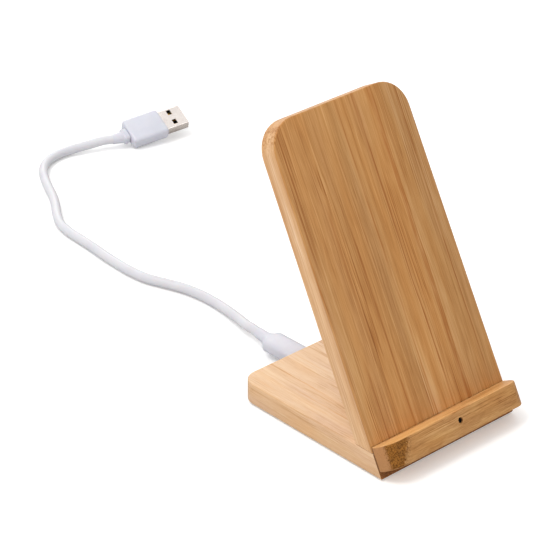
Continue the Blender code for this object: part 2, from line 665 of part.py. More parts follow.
# ================================================================ charging cable, USB-C end
FACE = GAP                                   # the moulding's front face, behind the base's rear face
HW, HH = BOOT_W / 2, BOOT_H / 2
NECK_SHIFT = NECK_BEND * NECK_LEN / 2
usb_c_overmould = loft(
    "usb_c_overmould",
    [
        (FACE, 0, 0, HW - 0.5, HH - 0.5, 3.6),
        (FACE + 0.25, 0, 0, HW - 0.12, HH - 0.12, 3.6),
        (FACE + 0.8, 0, 0, HW, HH, 3.6),
        (FACE + BOOT_LEN - 1.2, 0, 0, HW - 0.08, HH - 0.08, 3.4),
        (FACE + BOOT_LEN - 0.5, 0, 0, HW - 0.35, HH - 0.2, 3.2),
        (FACE + BOOT_LEN + 0.3, 0, 0, HW - 1.2, HH - 0.5, 2.8),
        (FACE + BOOT_LEN + 1.9, 0.03, 0, 3.05, 2.4, 2.3, 0.02),
        (FACE + BOOT_LEN + 3.2, 0.1, 0, 2.65, 2.4, 2.0, 0.06),
        (FACE + BOOT_LEN + NECK_LEN, NECK_SHIFT, 0, 2.25, 2.25, 2.0, NECK_BEND),
    ],
    white_plastic, socket, 28,
)
plug_seat = add(
    "cut_plug_seat",
    sheet("cut_plug_seat", [rect(-PLUG_W / 2 - GAP, -PLUG_H / 2 - GAP, PLUG_W / 2 + GAP, PLUG_H / 2 + GAP, 1.3)],
          -(FACE + 3.0), 1.0, upright=True),
    None, socket, True,
)
cut(usb_c_overmould, plug_seat)
smooth(usb_c_overmould, 40)
usb_c_plug_shell = add(
    "usb_c_plug_shell",
    sheet("usb_c_plug_shell", [
        rect(-PLUG_W / 2, -PLUG_H / 2, PLUG_W / 2, PLUG_H / 2, 1.15, 6),
        rect(-PLUG_W / 2 + SHELL_WALL, -PLUG_H / 2 + SHELL_WALL, PLUG_W / 2 - SHELL_WALL, PLUG_H / 2 - SHELL_WALL, 0.85, 6),
    ], -(FACE + 2.6), -(FACE - PLUG_LEN), upright=True),
    steel, socket,
)
smooth(usb_c_plug_shell)
usb_c_plug_insulator = box(
    "usb_c_plug_insulator", (-3.3, FACE - 0.7, -0.5), (3.3, FACE + 2.4, 0.5), black_plastic, socket,
)

# ================================================================ charging cable, USB-A end
# The plug lies tipped on one lower edge, as the cable's twist leaves it.
turn = (
    Matrix.Rotation(math.radians(A_YAW), 3, "Z")
    @ Matrix.Rotation(math.radians(-A_PITCH), 3, "Y")
    @ Matrix.Rotation(math.radians(A_ROLL), 3, "X")
)
A_ROUND = 1.5
lowest = min(
    (turn @ Vector((x, y, z))).z
    for x in (-A_BODY_LEN + A_ROUND, -A_ROUND)
    for y in (-A_BODY_W / 2 + A_ROUND, A_BODY_W / 2 - A_ROUND)
    for z in (-A_BODY_H / 2 + A_ROUND, A_BODY_H / 2 - A_ROUND)
) - A_ROUND
A_PLACE = Vector((A_FACE[0], A_FACE[1], 0.12 - lowest))
plug_frame = empty("usb_a_frame", A_PLACE - Vector((PORT_X, YR, PORT_Z)), turn.to_euler(), socket)


def plug_to_world(x, y, z):
    return tuple(A_PLACE + turn @ Vector((x, y, z)))


usb_a_overmould = box(
    "usb_a_overmould", (-A_BODY_LEN, -A_BODY_W / 2, -A_BODY_H / 2), (0, A_BODY_W / 2, A_BODY_H / 2),
    white_plastic, plug_frame,
)
round_edges(usb_a_overmould, A_ROUND, 4)
a_seat = box(
    "cut_usb_a_seat", (-2.3, -A_SHELL_W / 2 - GAP, -A_SHELL_H / 2 - GAP),
    (2.0, A_SHELL_W / 2 + GAP, A_SHELL_H / 2 + GAP), None, plug_frame, True,
)
cut(usb_a_overmould, a_seat)
smooth(usb_a_overmould, 40)

A_NECK_SHIFT = A_NECK_BEND * A_NECK_LEN / 2
usb_a_collar = loft(
    "usb_a_strain_relief",
    [
        (A_BODY_LEN + GAP, 0, 0, 3.35, 2.4, 4.0),
        (A_BODY_LEN + GAP + 1.0, 0, 0, 3.2, 2.3, 4.0),
        (A_BODY_LEN + GAP + 1.35, 0, 0, 3.55, 2.6, 4.0),
        (A_BODY_LEN + GAP + A_COLLAR_LEN - 0.3, 0, 0, 3.5, 2.55, 3.6),
        (A_BODY_LEN + GAP + A_COLLAR_LEN, 0, 0, 3.15, 2.5, 3.0),
        (A_BODY_LEN + GAP + A_COLLAR_LEN + 0.1, 0, 0, 2.9, 2.4, 2.3),
        (A_BODY_LEN + GAP + A_COLLAR_LEN + 2.2, 0.12, 0, 2.5, 2.35, 2.0, 0.11),
        (A_BODY_LEN + GAP + A_COLLAR_LEN + A_NECK_LEN, A_NECK_SHIFT, 0, 2.3, 2.25, 2.0, A_NECK_BEND),
    ],
    white_plastic, plug_frame, 24,
)
usb_a_collar.rotation_euler = (0, 0, math.pi / 2)
smooth(usb_a_collar, 40)

usb_a_shell = add(
    "usb_a_plug_shell",
    sheet("usb_a_plug_shell", [
        rect(-A_SHELL_W / 2, -A_SHELL_H / 2, A_SHELL_W / 2, A_SHELL_H / 2, 0.95, 5),
        rect(-A_SHELL_W / 2 + SHELL_WALL, -A_SHELL_H / 2 + SHELL_WALL,
             A_SHELL_W / 2 - SHELL_WALL, A_SHELL_H / 2 - SHELL_WALL, 0.65, 5),
    ], -2.0, A_SHELL_LEN, upright=True),
    steel, plug_frame,
)
usb_a_shell.rotation_euler = (0, 0, math.pi / 2)
windows = [
    box(f"cut_window_{i}", (4.7 - 1.02, y - 1.4, z - 0.6), (4.7 + 1.02, y + 1.4, z + 0.6), None, plug_frame, True)
    for i, (y, z) in enumerate([(-3.0, A_SHELL_H / 2), (3.0, A_SHELL_H / 2), (-3.0, -A_SHELL_H / 2), (3.0, -A_SHELL_H / 2)])
]
cut(usb_a_shell, *windows)
smooth(usb_a_shell)
usb_a_tongue = box(
    "usb_a_plug_insulator", (-1.6, -5.2, -A_SHELL_H / 2 + 0.6), (A_SHELL_LEN - 0.7, 5.2, 0.0), black_plastic, plug_frame,
)
for i, y in enumerate((-3.5, -1.0, 1.0, 3.5)):
    box(f"usb_a_contact_{i + 1}", (0.5, y - 0.5, GAP), (A_SHELL_LEN - 1.6, y + 0.5, GAP + 0.25), gold, plug_frame)

# ================================================================ the cable itself
START = YR + FACE + BOOT_LEN + NECK_LEN + GAP
END = -(A_BODY_LEN + GAP + A_COLLAR_LEN + A_NECK_LEN + GAP)
FLOOR = CABLE_D / 2 + 0.06
cable_route = [
    (PORT_X + NECK_SHIFT + GAP * NECK_BEND, START, PORT_Z),
    (PORT_X + NECK_SHIFT + 0.7, START + 4.0, PORT_Z - 0.2),
    (-1.0, 77.9, 4.2),
    (1.4, 86.6, 3.15),
    (3.1, 95.0, 2.5),
    (4.0, 103.8, FLOOR),
    (3.7, 112.8, FLOOR),
    (2.1, 121.9, FLOOR),
    (-0.9, 130.3, FLOOR),
    (-3.9, 138.6, FLOOR),
    (-5.0, 147.8, FLOOR),
    (-4.9, 157.0, FLOOR),
    (-4.4, 165.9, FLOOR),
    (-3.5, 174.8, FLOOR),
    (-2.9, 183.7, FLOOR),
    (-2.4, 192.5, FLOOR),
    (-0.6, 201.2, FLOOR),
    (3.7, 209.3, FLOOR),
    (8.7, 216.7, FLOOR),
    (13.2, 224.4, FLOOR),
    (17.0, 232.4, FLOOR),
    (21.2, 240.5, FLOOR),
    (26.1, 247.9, FLOOR),
    (32.9, 253.4, FLOOR),
    (40.8, 255.65, FLOOR),
    (48.7, 254.75, FLOOR + 0.4),
    (56.3, 252.0, 3.5),
    plug_to_world(END - 3.8, A_NECK_SHIFT + 1.12, -0.1),
    plug_to_world(END, A_NECK_SHIFT + GAP * A_NECK_BEND, 0),
]
cable_points = curve_through(cable_route, 2 * CABLE_D)
tube("charging_cable", cable_points, CABLE_D / 2, white_jacket, socket, (PORT_X, YR, PORT_Z))
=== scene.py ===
"""Looks of the bamboo charging stand and its white cable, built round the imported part.

Metres, +Z up, +Y towards the rear, +X to the right seen from in front.
"""

import json
import math

import bmesh
import bpy
import numpy as np
from mathutils import Matrix, Vector


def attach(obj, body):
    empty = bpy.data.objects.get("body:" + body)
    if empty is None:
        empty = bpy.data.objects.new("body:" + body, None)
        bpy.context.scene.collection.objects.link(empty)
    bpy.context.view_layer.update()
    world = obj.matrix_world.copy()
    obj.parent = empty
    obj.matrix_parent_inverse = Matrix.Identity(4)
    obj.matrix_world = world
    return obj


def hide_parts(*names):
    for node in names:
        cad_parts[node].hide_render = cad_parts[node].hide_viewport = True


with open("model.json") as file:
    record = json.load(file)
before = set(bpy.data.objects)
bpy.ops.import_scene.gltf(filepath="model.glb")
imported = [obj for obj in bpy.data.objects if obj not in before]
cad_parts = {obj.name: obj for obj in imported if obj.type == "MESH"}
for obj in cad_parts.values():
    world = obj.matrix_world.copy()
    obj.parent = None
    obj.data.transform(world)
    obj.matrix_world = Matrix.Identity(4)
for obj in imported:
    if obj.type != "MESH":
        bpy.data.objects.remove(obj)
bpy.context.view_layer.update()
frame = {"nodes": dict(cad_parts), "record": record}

NODES = frame["nodes"]
scene = bpy.context.scene
MM = 0.001

# ---------------------------------------------------------------- the part's own places (mm)
LEAN = math.radians(28.3)
SIN, COS = math.sin(LEAN), math.cos(LEAN)
YF, YR, ZB = -36.3674, 42.8326, 0.5
PORT_X, PORT_Z = -3.2, 5.1
CABLE_D = 4.2

# ================================================================ camera
cam_data = bpy.data.cameras.new("camera")
camera = bpy.data.objects.new("camera", cam_data)
scene.collection.objects.link(camera)
right = Vector((0.7379661, -0.6748336, 0.0023596)).normalized()
back = Vector((-0.5891577, -0.6425619, 0.4899055)).normalized()
up = back.cross(right).normalized()
right = up.cross(back).normalized()
place = Vector((-0.610655, -0.606813, 0.540665))
camera.matrix_world = Matrix((
    (right.x, up.x, back.x, place.x),
    (right.y, up.y, back.y, place.y),
    (right.z, up.z, back.z, place.z),
    (0, 0, 0, 1),
))
cam_data.sensor_width = 36.0
cam_data.lens = 2600 / 560 * 36
cam_data.clip_start, cam_data.clip_end = 0.01, 50
scene.camera = camera

# ================================================================ light and floor
scene.view_settings.view_transform = "Standard"
scene.view_settings.look = "None"

world = bpy.data.worlds.new("studio")
scene.world = world
world.use_nodes = True
wn = world.node_tree
wn.nodes.clear()
w_out = wn.nodes.new("ShaderNodeOutputWorld")
w_bg = wn.nodes.new("ShaderNodeBackground")
w_dir = wn.nodes.new("ShaderNodeTexCoord")
w_xyz = wn.nodes.new("ShaderNodeSeparateXYZ")
w_ramp = wn.nodes.new("ShaderNodeValToRGB")
stops = w_ramp.color_ramp.elements
stops.new(0.5)
for stop, (at, grey) in zip(stops, ((0.0, 0.34), (0.45, 0.62), (1.0, 0.95))):
    stop.position = at
    stop.color = (grey, grey, grey, 1)
w_bg.inputs["Strength"].default_value = 0.95
wn.links.new(w_dir.outputs["Generated"], w_xyz.inputs[0])
wn.links.new(w_xyz.outputs["Z"], w_ramp.inputs[0])
wn.links.new(w_ramp.outputs[0], w_bg.inputs["Color"])
wn.links.new(w_bg.outputs[0], w_out.inputs[0])


def area(name, loc, target, size, power, colour=(1, 1, 1)):
    data = bpy.data.lights.new(name, "AREA")
    data.shape = "DISK"
    data.size = size
    data.energy = power
    data.color = colour
    ob = bpy.data.objects.new(name, data)
    ob.location = loc
    ob.rotation_euler = (Vector(loc) - Vector(target)).to_track_quat("Z", "Y").to_euler()
    scene.collection.objects.link(ob)
    return ob


area("key", (-0.5, 0.35, 1.2), (0, 0.07, 0.02), 0.8, 7.4, (1.0, 0.985, 0.96))
area("fill", (0.1, -1.3, 0.75), (0, 0.0, 0.05), 0.9, 2.45, (1.0, 1.0, 1.0))
area("left_card", (-1.4, 0.0, 0.45), (0, 0.05, 0.02), 1.1, 2.9, (1.0, 0.99, 0.975))
area("back_card", (0.9, 1.5, 0.9), (0.06, 0.2, 0.02), 1.2, 7.0, (1.0, 0.99, 0.97))


# ================================================================ node helpers
class Maker:
    """Builds one material's nodes; a value given to a socket may be a number, a tuple or another socket."""

    def __init__(self, name):
        self.mat = bpy.data.materials.new(name)
        self.mat.use_nodes = True
        self.t = self.mat.node_tree
        self.t.nodes.clear()
        self.out = self.t.nodes.new("ShaderNodeOutputMaterial")
        self.bsdf = self.t.nodes.new("ShaderNodeBsdfPrincipled")
        self.t.links.new(self.bsdf.outputs[0], self.out.inputs[0])
        self.coord = self.t.nodes.new("ShaderNodeTexCoord")

    def put(self, socket, value):
        if isinstance(value, bpy.types.NodeSocket):
            self.t.links.new(value, socket)
        elif socket.type == "RGBA" and len(value) == 3:
            socket.default_value = (*value, 1.0)
        else:
            socket.default_value = value

    def math(self, op, a, b=0.0, c=0.0, clamp=False):
        n = self.t.nodes.new("ShaderNodeMath")
        n.operation = op
        n.use_clamp = clamp
        for s, v in zip(n.inputs, (a, b, c)):
            self.put(s, v)
        return n.outputs[0]

    def add(self, *v):
        total = v[0]
        for x in v[1:]:
            total = self.math("ADD", total, x)
        return total

    def mul(self, a, b):
        return self.math("MULTIPLY", a, b)

    def vec(self, op, a, b=None, scale=None):
        n = self.t.nodes.new("ShaderNodeVectorMath")
        n.operation = op
        self.put(n.inputs[0], a)
        if b is not None:
            self.put(n.inputs[1], b)
        if scale is not None:
            self.put(n.inputs["Scale"], scale)
        return n.outputs["Value"] if op in ("DOT_PRODUCT", "LENGTH", "DISTANCE") else n.outputs["Vector"]

    def join(self, x, y, z):
        n = self.t.nodes.new("ShaderNodeCombineXYZ")
        for s, v in zip(n.inputs, (x, y, z)):
            self.put(s, v)
        return n.outputs[0]

    def split(self, v):
        n = self.t.nodes.new("ShaderNodeSeparateXYZ")
        self.put(n.inputs[0], v)
        return n.outputs

    def noise(self, v, scale=1.0, detail=2.0, rough=0.5, distort=0.0):
        n = self.t.nodes.new("ShaderNodeTexNoise")
        n.noise_dimensions = "3D"
        self.put(n.inputs["Vector"], v)
        self.put(n.inputs["Scale"], scale)
        self.put(n.inputs["Detail"], detail)
        self.put(n.inputs["Roughness"], rough)
        self.put(n.inputs["Distortion"], distort)
        return n.outputs[0]

    def cells(self, v, scale=1.0, random=1.0, feature="F1"):
        n = self.t.nodes.new("ShaderNodeTexVoronoi")
        n.feature = feature
        self.put(n.inputs["Vector"], v)
        self.put(n.inputs["Scale"], scale)
        self.put(n.inputs["Randomness"], random)
        return n.outputs["Distance"], n.outputs.get("Color")

    def random(self, w):
        n = self.t.nodes.new("ShaderNodeTexWhiteNoise")
        n.noise_dimensions = "1D"
        self.put(n.inputs["W"], w)
        return n.outputs["Value"]

    def step(self, v, lo, hi, a=0.0, b=1.0):
        n = self.t.nodes.new("ShaderNodeMapRange")
        n.interpolation_type = "SMOOTHSTEP"
        for s, x in zip(n.inputs, (v, lo, hi, a, b)):
            self.put(s, x)
        return n.outputs[0]

    def ramp(self, v, stops):
        n = self.t.nodes.new("ShaderNodeValToRGB")
        e = n.color_ramp.elements
        while len(e) < len(stops):
            e.new(0.5)
        for el, (pos, rgb) in zip(e, stops):
            el.position = pos
            el.color = (*rgb, 1.0)
        self.put(n.inputs[0], v)
        return n.outputs[0]

    def mix(self, fac, a, b, blend="MIX"):
        n = self.t.nodes.new("ShaderNodeMix")
        n.data_type = "RGBA"
        n.blend_type = blend
        self.put(n.inputs[0], fac)
        self.put(n.inputs[6], a)
        self.put(n.inputs[7], b)
        return n.outputs[2]

    def bump(self, height, distance, strength=1.0, normal=None):
        n = self.t.nodes.new("ShaderNodeBump")
        self.put(n.inputs["Height"], height)
        self.put(n.inputs["Distance"], distance)
        self.put(n.inputs["Strength"], strength)
        if normal is not None:
            self.put(n.inputs["Normal"], normal)
        return n.outputs[0]

    def edges(self, radius):
        """0 on flat faces, rising where the surface turns within radius."""
        b = self.t.nodes.new("ShaderNodeBevel")
        b.samples = 4
        b.inputs["Radius"].default_value = radius
        g = self.t.nodes.new("ShaderNodeNewGeometry")
        same = self.vec("DOT_PRODUCT", b.outputs[0], g.outputs["Normal"])
        return self.step(self.math("SUBTRACT", 1.0, same), 0.01, 0.12)

    def mm(self):
        """Object coordinates in millimetres."""
        return self.vec("SCALE", self.coord.outputs["Object"], scale=1000.0)

    def set(self, **kw):
        names = {
            "colour": "Base Color", "rough": "Roughness", "metal": "Metallic", "normal": "Normal",
            "spec": "Specular IOR Level", "coat": "Coat Weight", "coat_rough": "Coat Roughness",
            "sub": "Subsurface Weight", "sub_scale": "Subsurface Scale", "sub_radius": "Subsurface Radius",
            "aniso": "Anisotropic", "ior": "IOR", "sheen": "Sheen Weight",
        }
        for k, v in kw.items():
            self.put(self.bsdf.inputs[names[k]], v)
        return self.mat


def srgb(r, g, b):
    """An 8-bit colour as linear values."""
    return tuple(((c / 255) / 12.92 if c / 255 <= 0.04045 else ((c / 255 + 0.055) / 1.055) ** 2.4) for c in (r, g, b))


# ================================================================ bamboo
def bamboo(name, axes, tilt, tones, seed=0.0, strip=5.6, contrast=1.0, lines=0.5, run=1.0, skin=None,
           streaks=(), streak_by="across", crowds=(), bands=(), plies=(), streak_tone=(0.74, 0.56, 0.36), end_tone=None, end_zone=None, end_plain=None, seam_at=None,
           painted_top_light=None, finish_rough=0.46, origin=(0, YF, ZB)):
    """Laminated bamboo as a solid: strips across, fibres along, and the fibres' ends as specks.

    axes says which of the turned coordinates run across the strips, through them and along the grain.
    tones are the deep, middle and pale tones.  skin is (depth, tones) of a thinner outer ply on the side
    where the through coordinate is smallest.  streaks are darker runs of fibre, each with its place across,
    half its width, its strength and the two ends of its run along the grain (streak_by="through" counts
    the place through the ply instead); crowds are places where fine lines gather, each with its middle, half
    width and two ends along the grain; bands are broad warm (above nought) or cool parts of the width, each
    with its middle, half width and strength; plies are duller seams counted through the wood, given as
    streaks are.  end_tone is the colour of the fibre ends; end_zone limits it to where
    the across coordinate passes from the first to the second value, and where the along coordinate, which
    leans with the through coordinate, passes from the third to the fourth.  end_plain tints the ends beside it.
    """
    m = Maker(name)
    p = m.vec("SUBTRACT", m.mm(), origin)
    facing = m.coord.outputs["Normal"]
    if tilt:
        for k in range(2):
            r = m.t.nodes.new("ShaderNodeVectorRotate")
            r.rotation_type = "X_AXIS"
            r.inputs["Angle"].default_value = LEAN
            m.put(r.inputs["Vector"], p if k == 0 else facing)
            if k == 0:
                p = r.outputs[0]
            else:
                facing = r.outputs[0]
    xyz, nxyz = m.split(p), m.split(facing)
    across, through, along = (xyz["XYZ".index(a)] for a in axes)
    # the grain wanders a little along its length
    drift = m.noise(m.join(m.mul(across, 0.03), m.mul(through, 0.03), m.add(m.mul(along, 0.014 / run), seed)), 1.0, 1.0)
    drift = m.math("SUBTRACT", drift, 0.5)
    a = m.add(across, m.mul(drift, 2.0))
    t = m.add(through, m.mul(drift, -1.4))

    # one tone for each strip, and a thin glue line between strips
    pick = m.math("DIVIDE", m.add(a, 400.0 + seed), strip)
    tone = m.random(m.add(m.math("FLOOR", pick), seed))
    rim = m.math("ABSOLUTE", m.math("SUBTRACT", m.math("FRACT", pick), 0.5))

    # bundles of fibre, from broad bands down to single threads
    def band(across_mm, along_mm, detail, shift, rough=0.55):
        return m.noise(
            m.join(m.math("DIVIDE", m.add(a, seed + shift), across_mm),
                   m.math("DIVIDE", m.add(t, shift), across_mm),
                   m.math("DIVIDE", m.add(along, shift * 7.0), along_mm * run)), 1.0, detail, rough)

    broad = band(6.5, 60.0, 1.0, 3.1)
    middle = band(1.4, 170.0, 2.0, 17.7)
    narrow = band(0.55, 150.0, 2.0, 29.9, 0.6)
    fine = band(0.27, 11.0, 2.0, 41.3, 0.6)
    crowd = m.step(band(4.0, 90.0, 1.0, 55.5), 0.46, 0.60)
    if crowds:
        crowd = m.mul(crowd, 0.35)
        for place, half, start, stop in crowds:
            inside = m.mul(m.step(m.math("ABSOLUTE", m.math("SUBTRACT", a, place)), half * 0.6, half * 1.2, 1.0, 0.0),
                           m.mul(m.step(along, start - 8.0, start + 8.0), m.step(along, stop - 8.0, stop + 8.0, 1.0, 0.0)))
            crowd = m.math("MAXIMUM", crowd, inside)
    hair = m.mul(m.step(narrow, 0.53, 0.59), m.add(0.06, m.mul(crowd, 0.94)))
    light = m.step(band(1.3, 150.0, 1.0, 97.1), 0.60, 0.68)

    value = m.add(
        0.5,
        m.mul(m.math("SUBTRACT", broad, 0.5), 0.42 * contrast),
        m.mul(m.math("SUBTRACT", middle, 0.5), 0.34 * contrast),
        m.mul(m.math("SUBTRACT", fine, 0.5), 0.58 * contrast),
        m.mul(m.math("SUBTRACT", tone, 0.5), 0.10 * contrast),
        m.mul(light, 0.12 * contrast),
        m.mul(hair, -0.12 * contrast),
    )

    def tinted(three):
        deep, mid, pale = three
        return m.ramp(value, [(0.16, deep), (0.5, mid), (0.84, pale)])

    base = tinted(tones)
    if skin:
        depth, skin_tones = skin
        inner = m.step(through, depth - 0.05, depth + 0.05)
        base = m.mix(inner, tinted(skin_tones), base)
        glue = m.mul(m.step(through, depth - 0.02, depth + 0.08), m.step(through, depth + 0.12, depth + 0.28, 1.0, 0.0))
        base = m.mix(m.mul(glue, 0.45), base, m.mix(1.0, base, (0.60, 0.47, 0.34), "MULTIPLY"))
    base = m.mix(m.mul(hair, min(0.85, 0.75 * contrast)), base, m.mix(1.0, base, (0.81, 0.69, 0.52), "MULTIPLY"))
    # warmer and cooler patches
    hue = band(7.5, 90.0, 1.0, 133.0)
    base = m.mix(m.step(hue, 0.50, 0.66, 0.0, 0.60), base, m.mix(1.0, base, (1.01, 0.94, 0.81), "MULTIPLY"))
    base = m.mix(m.step(hue, 0.50, 0.34, 0.0, 0.60), base, m.mix(1.0, base, (0.98, 1.0, 1.12), "MULTIPLY"))
    for place, half, strength in bands:
        part = m.step(m.math("ABSOLUTE", m.math("SUBTRACT", a, place)), half * 0.75, half * 1.15, abs(strength), 0.0)
        tint = (1.01, 0.92, 0.76) if strength > 0 else (0.97, 1.02, 1.08)
        base = m.mix(m.mul(part, m.step(broad, 0.25, 0.6, 0.6, 1.0)), base, m.mix(1.0, base, tint, "MULTIPLY"))
    line = m.mul(m.step(rim, 0.5 - 0.20 / strip, 0.5 - 0.05 / strip), m.step(band(8.0, 90.0, 1.0, 151.0), 0.40, 0.62))
    base = m.mix(m.mul(line, lines), base, m.mix(1.0, base, (0.66, 0.52, 0.38), "MULTIPLY"))
    for place, half, strength, start, stop in plies:
        off = m.math("ABSOLUTE", m.math("SUBTRACT", m.add(t, m.mul(m.math("SUBTRACT", middle, 0.5), 1.6)), place))
        part = m.mul(m.step(off, half * 0.5, half * 1.4, strength, 0.0),
                     m.mul(m.step(along, start - 10.0, start + 10.0), m.step(along, stop - 10.0, stop + 10.0, 1.0, 0.0)))
        base = m.mix(part, base, m.mix(1.0, base, (0.84, 0.72, 0.60), "MULTIPLY"))
    if streaks:
        along_ply = streak_by == "through"
        wavy = m.add(through if along_ply else across,
                     m.mul(m.math("SUBTRACT", band(5.0, 30.0, 2.0, 211.0), 0.5), 0.7 if along_ply else 1.1),
                     m.mul(m.math("SUBTRACT", fine, 0.5), 0.3 if along_ply else 0.5))
        broken = m.step(band(1.1, 17.0, 2.0, 233.0), 0.34, 0.60, 0.40, 1.0)
        taper = 3.0 if along_ply else 14.0
        total = 0.0
        for place, half, strength, start, stop in streaks:
            off = m.math("ABSOLUTE", m.math("SUBTRACT", wavy, place))
            body = m.step(off, half * 0.10, half * 1.45, 1.0, 0.0)
            ends = m.mul(m.step(along, start, start + taper), m.step(along, stop - taper, stop, 1.0, 0.0))
            total = m.math("MAXIMUM", total, m.mul(m.mul(body, ends), strength))
        if skin:
            total = m.mul(total, m.step(through, skin[0] - 0.3, skin[0], 1.0, 0.0))
        base = m.mix(m.math("MULTIPLY", total, broken, clamp=True), base, m.mix(1.0, base, streak_tone, "MULTIPLY"))

    # the ends of the fibres
    end = m.step(m.math("ABSOLUTE", nxyz["XYZ".index(axes[2])]), 0.36, 0.74)
    d, _ = m.cells(m.join(m.math("DIVIDE", a, 0.46), m.math("DIVIDE", m.add(t, m.mul(a, 0.45)), 0.30), m.math("DIVIDE", along, 3.0)), 1.0, 0.8)
    dots = m.step(d, 0.18, 0.56, 1.0, 0.0)
    if end_tone is not None:
        on, marks = end, dots
        if end_zone:
            if end_plain:
                base = m.mix(m.mul(end, 0.75), base, end_plain)
            ragged = m.math("SUBTRACT", m.noise(m.vec("SCALE", p, scale=1.0), 1.3, 2.0, 0.6), 0.5)
            leaning = m.add(along, m.mul(m.math("SUBTRACT", through, 7.95), -0.55))
            side = m.step(m.math("ABSOLUTE", nxyz["XYZ".index(axes[1])]), 0.5, 0.8, 1.0, 0.0)
            front = m.add(across, m.mul(ragged, 2.2))
            reach = m.add(leaning, m.mul(ragged, 5.5))
            on = m.mul(m.mul(m.step(front, end_zone[0], end_zone[1]), m.step(reach, end_zone[2], end_zone[3])), side)
            wide = m.mul(m.mul(m.step(front, end_zone[0] + 0.4, end_zone[1] + 0.2), m.step(reach, end_zone[2] + 2.6, end_zone[3] + 0.8)), side)
            # slanting rows of dark fibre ends
            row = m.noise(m.join(m.math("DIVIDE", m.add(along, m.mul(through, 0.7)), 0.32),
                                 m.math("DIVIDE", m.add(through, m.mul(along, -0.7)), 0.90), m.math("DIVIDE", across, 0.32)), 1.0, 2.0, 0.55)
            marks = m.step(row, 0.44, 0.60)
            base = m.mix(m.mul(m.mul(wide, marks), 0.65), base, m.mix(1.0, end_tone, (0.50, 0.42, 0.30), "MULTIPLY"))
        ground = m.mix(m.step(middle, 0.35, 0.65), end_tone, m.mix(1.0, end_tone, (1.30, 1.27, 1.15), "MULTIPLY"))
        speck = m.mix(m.mul(marks, 0.9), ground, m.mix(1.0, end_tone, (0.40, 0.33, 0.21) if end_zone else (0.30, 0.24, 0.17), "MULTIPLY"))
        base = m.mix(on, base, speck)
    # painted light: the flat faces across the through coordinate (the tops) are painted lighter, standing in for light
    # from above
    if painted_top_light:
        flat = m.step(m.math("ABSOLUTE", nxyz["XYZ".index(axes[1])]), 0.6, 0.9)
        base = m.mix(flat, base, m.mix(1.0, base, painted_top_light, "MULTIPLY"))
    base = m.mix(m.mul(m.mul(end, dots), 0.06 if end_tone is not None else 0.30), base, m.mix(1.0, base, (0.62, 0.50, 0.40), "MULTIPLY"))

    # painted highlight: the arrises are painted lighter, where light catches their rounding
    arris_highlight = m.edges(0.0007)
    if seam_at is not None:
        # the dark glue joint along the rear edge of the left end
        seam = m.mul(m.mul(end, m.step(across, seam_at - 0.70, seam_at - 0.36)), m.step(along, -35.0, -35.4))
        base = m.mix(m.mul(seam, 0.92), base, m.mix(1.0, base, (0.34, 0.27, 0.20), "MULTIPLY"))
        arris_highlight = m.mul(arris_highlight, m.math("SUBTRACT", 1.0, seam))
    # painted highlight: lighten the arrises
    base = m.mix(m.mul(arris_highlight, 0.50), base, m.mix(1.0, base, (1.26, 1.26, 1.26), "MULTIPLY"))

    rough = m.add(finish_rough, m.mul(m.math("SUBTRACT", fine, 0.5), 0.20), m.mul(hair, 0.05), m.mul(m.mul(end, dots), 0.12))
    height = m.add(m.mul(fine, 0.5), m.mul(narrow, 0.35), m.mul(line, -0.5), m.mul(m.mul(end, dots), -0.6))
    normal = m.bump(height, 0.00006, 0.6)
    shine = 1.0
    if end_tone is not None:
        shine = m.math("SUBTRACT", 1.0, m.mul(on, 0.75))
    return m.set(colour=base, rough=rough, spec=m.mul(shine, 0.30), normal=normal, coat=m.mul(shine, 0.08), coat_rough=0.35)


BOARD_FACE = (srgb(160, 103, 46), srgb(195, 141, 82), srgb(216, 167, 111))
CORE = (srgb(188, 133, 86), srgb(219, 173, 126), srgb(238, 204, 164))
BASE = (srgb(194, 141, 94), srgb(223, 183, 141), srgb(238, 211, 176))
LEDGE = (srgb(155, 101, 48), srgb(192, 139, 80), srgb(213, 165, 104))
BOARD_STREAKS = (
    (17.3, 1.00, 1.20, -20.0, 160.0), (18.2, 0.34, 1.60, -20.0, 160.0), (16.5, 0.24, 0.60, 30.0, 160.0), (8.8, 0.60, 0.90, -20.0, 160.0), (-0.3, 0.46, 1.00, -20.0, 160.0),
    (11.4, 0.42, 0.60, 20.0, 110.0), (-6.6, 0.50, 0.75, 60.0, 126.0), (-12.0, 0.50, 0.75, -10.0, 96.0),
    (-19.8, 0.80, 0.60, 44.0, 108.0), (-26.0, 0.55, 0.50, -20.0, 50.0), (29.6, 0.42, 0.95, 14.0, 146.0),
    (33.0, 0.36, 0.60, 84.0, 160.0), (27.4, 0.32, 0.45, 94.0, 160.0), (25.4, 0.34, 0.50, 90.0, 160.0),
    (22.8, 0.34, 0.50, 84.0, 160.0), (20.9, 0.34, 0.50, 92.0, 160.0), (-30.6, 0.34, 0.55, 100.0, 150.0),
    (-34.6, 0.34, 0.90, 24.0, 96.0),
)
BOARD_BANDS = (
    (9.8, 7.4, 0.45), (27.5, 7.2, -0.50), (-4.4, 3.0, -0.45), (-22.5, 5.5, 0.35), (-31.5, 2.6, -0.25), (-11.5, 2.4, 0.20),
)
BOARD_PLIES = (
    (6.4, 1.3, 0.60, 26.0, 160.0), (4.5, 0.22, 0.70, 8.0, 126.0), (2.3, 0.18, 0.45, 44.0, 150.0), (5.6, 0.6, 0.45, -20.0, 34.0),
)
BOARD_CROWDS = (
    (10.0, 5.0, 8.0, 100.0), (-19.0, 3.6, 42.0, 118.0), (27.0, 7.0, 92.0, 160.0), (-27.0, 6.0, -20.0, 34.0),
    (-2.5, 2.2, -20.0, 34.0), (-31.0, 3.0, 84.0, 160.0),
)
board_bamboo = bamboo("board_bamboo", "XYZ", True, CORE, seed=11.0, contrast=1.15, lines=0.25, skin=(0.50, BOARD_FACE), streaks=BOARD_STREAKS, crowds=BOARD_CROWDS, bands=BOARD_BANDS,
                      plies=BOARD_PLIES)
